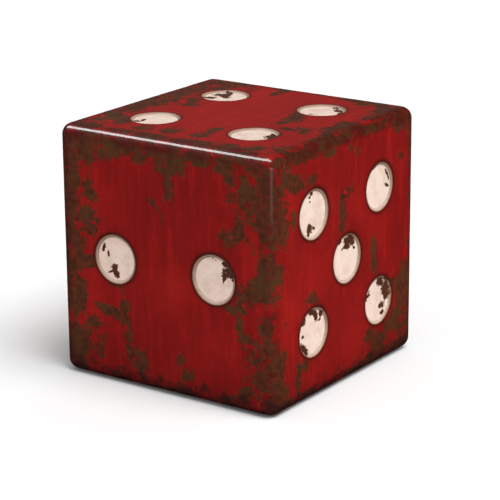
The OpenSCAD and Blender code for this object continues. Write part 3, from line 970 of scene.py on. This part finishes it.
def dress_inside():
    """Paints every CAD node that nothing replaces: the frame, the fasteners and the glides."""
    fir = {way: plain_wood("fir_" + way, FIR_PALE, FIR_DARK, way) for way in "xyz"}
    beech = plain_wood("beech", BEECH_PALE, BEECH_DARK, "z", 2.0)
    zinc, black = zinc_steel(), nylon()
    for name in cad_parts:
        if name.endswith("screws"):
            paint_node(name, zinc)
        elif name.endswith(("dowels", "biscuits")):
            paint_node(name, beech)
        elif name == "glides":
            paint_node(name, black)
        elif name.startswith("post_"):
            paint_node(name, fir["z"])
        elif "_rail_" in name:
            paint_node(name, fir["x" if name.endswith(("front", "back")) else "y"])
        elif name.startswith("brace_"):
            paint_node(name, fir["x" if name == "brace_left_right" else "y"])


# ---- Stage -----------------------------------------

# Metres, unless a line says otherwise
CAMERA_AT = (2.212, -3.118, 1.388)
CAMERA_YAW = 35.08        # degrees to the left of +Y that the camera looks
CAMERA_PITCH = 17.06      # degrees below the horizon
CAMERA_ROLL = -0.42       # degrees
CAMERA_LENS = 153.0       # mm, on the default 36 mm sensor
FLOOR_REACH = 40.0        # from the table to the floor's sides
SUN_AWAY = 3.0            # only places the lamp, and makes no difference to its light
FILL_LEFT = 0.28          # strength of the world's light from -X
FILL_RIGHT = 0.74         # and from +X


def make_camera():
    """A camera at the photograph's viewing angle, turned by its yaw, pitch and roll."""
    yaw, pitch, roll = map(math.radians, (CAMERA_YAW, CAMERA_PITCH, CAMERA_ROLL))
    forward = Vector((-math.sin(yaw) * math.cos(pitch), math.cos(yaw) * math.cos(pitch), -math.sin(pitch)))
    level = Vector((math.cos(yaw), math.sin(yaw), 0))
    upward = level.cross(forward)
    right = math.cos(roll) * level + math.sin(roll) * upward
    up = math.cos(roll) * upward - math.sin(roll) * level
    made = bpy.data.objects.new("camera", bpy.data.cameras.new("camera"))
    made.data.lens = CAMERA_LENS
    made.matrix_world = Matrix.Translation(CAMERA_AT) @ Matrix((right, up, -forward)).transposed().to_4x4()
    bpy.context.scene.collection.objects.link(made)
    bpy.context.scene.camera = made


def make_floor():
    """A plain pale floor, which doesn't show in the gloss of the table."""
    mesh = bpy.data.meshes.new("floor")
    corners = [(x * FLOOR_REACH, y * FLOOR_REACH, 0) for x, y in ((-1, -1), (1, -1), (1, 1), (-1, 1))]
    mesh.from_pydata(corners, [], [(0, 1, 2, 3)])
    floor = bpy.data.objects.new("floor", mesh)
    m = Material("floor", roughness=0.9, Specular_IOR_Level=0.1)
    mesh.materials.append(m.finish(m.mix(m.noise(3.0, detail=2), FLOOR_GREY, FLOOR_WHITE)))
    floor.visible_glossy = False
    bpy.context.scene.collection.objects.link(floor)


def place_light(name, data, toward, distance, in_gloss):
    """Puts a light in a direction from the middle of the table, facing it. It shows either in gloss only
    or on matt surfaces only."""
    made = bpy.data.objects.new(name, data)
    way = Vector(toward).normalized()
    made.location = Vector((0, 0, HALF * MM)) + way * distance
    across = (Vector((1, 0, 0)) - way.x * way).normalized()
    made.rotation_mode = "QUATERNION"
    made.rotation_quaternion = Matrix((across, way.cross(across), way)).transposed().to_quaternion()
    made.visible_camera = False
    made.visible_diffuse = not in_gloss
    made.visible_glossy = in_gloss
    bpy.context.scene.collection.objects.link(made)


def softbox(name, toward, distance, width, height, radiance, spread=180):
    """A rectangular light that faces the table from the direction toward and only shows in its gloss."""
    data = bpy.data.lights.new(name, "AREA")
    data.shape = "RECTANGLE"
    data.size = width
    data.size_y = height
    data.energy = radiance * width * height * math.pi
    data.spread = math.radians(spread)
    place_light(name, data, toward, distance, in_gloss=True)


def sun(name, toward, strength, spread):
    """A soft light from far away, which only lights matt surfaces."""
    data = bpy.data.lights.new(name, "SUN")
    data.energy = strength
    data.angle = math.radians(spread)
    place_light(name, data, toward, SUN_AWAY, in_gloss=False)


def make_world():
    """White light from all round, stronger from the right, which doesn't show in gloss."""
    world = bpy.data.worlds.new("studio")
    world.use_nodes = True
    nodes = world.node_tree.nodes
    links = world.node_tree.links
    side = nodes.new("ShaderNodeSeparateXYZ")
    fill = nodes.new("ShaderNodeMapRange")
    for key, value in (("From Min", -1), ("From Max", 1), ("To Min", FILL_LEFT), ("To Max", FILL_RIGHT)):
        fill.inputs[key].default_value = value
    links.new(nodes.new("ShaderNodeTexCoord").outputs["Generated"], side.inputs[0])
    links.new(side.outputs["X"], fill.inputs["Value"])
    links.new(fill.outputs["Result"], nodes["Background"].inputs["Strength"])
    nodes["Background"].inputs["Color"].default_value = rgb(1, 1, 1)
    bpy.context.scene.world = world
    world.cycles_visibility.glossy = False


def make_light():
    """The world's light, one soft sun, softboxes for the highlights, and a plain view of their light."""
    make_world()
    sun("key", toward=(0.42, -0.05, 0.9), strength=2.15, spread=36)
    softbox("edge_light", toward=(-0.20, -0.25, 0.80), distance=3.0, width=5.0, height=0.95, radiance=24.0)
    softbox("back_haze", toward=(-0.55, 0.78, 0.30), distance=4.0, width=3.5, height=2.5, radiance=0.06)
    softbox("corner_light", toward=(0.80, -0.63, 0.07), distance=1.03, width=0.75, height=0.32,
            radiance=0.5, spread=50)
    bpy.context.scene.view_settings.view_transform = "Standard"


make_camera()
make_floor()
make_light()
dress_cube()
dress_inside()
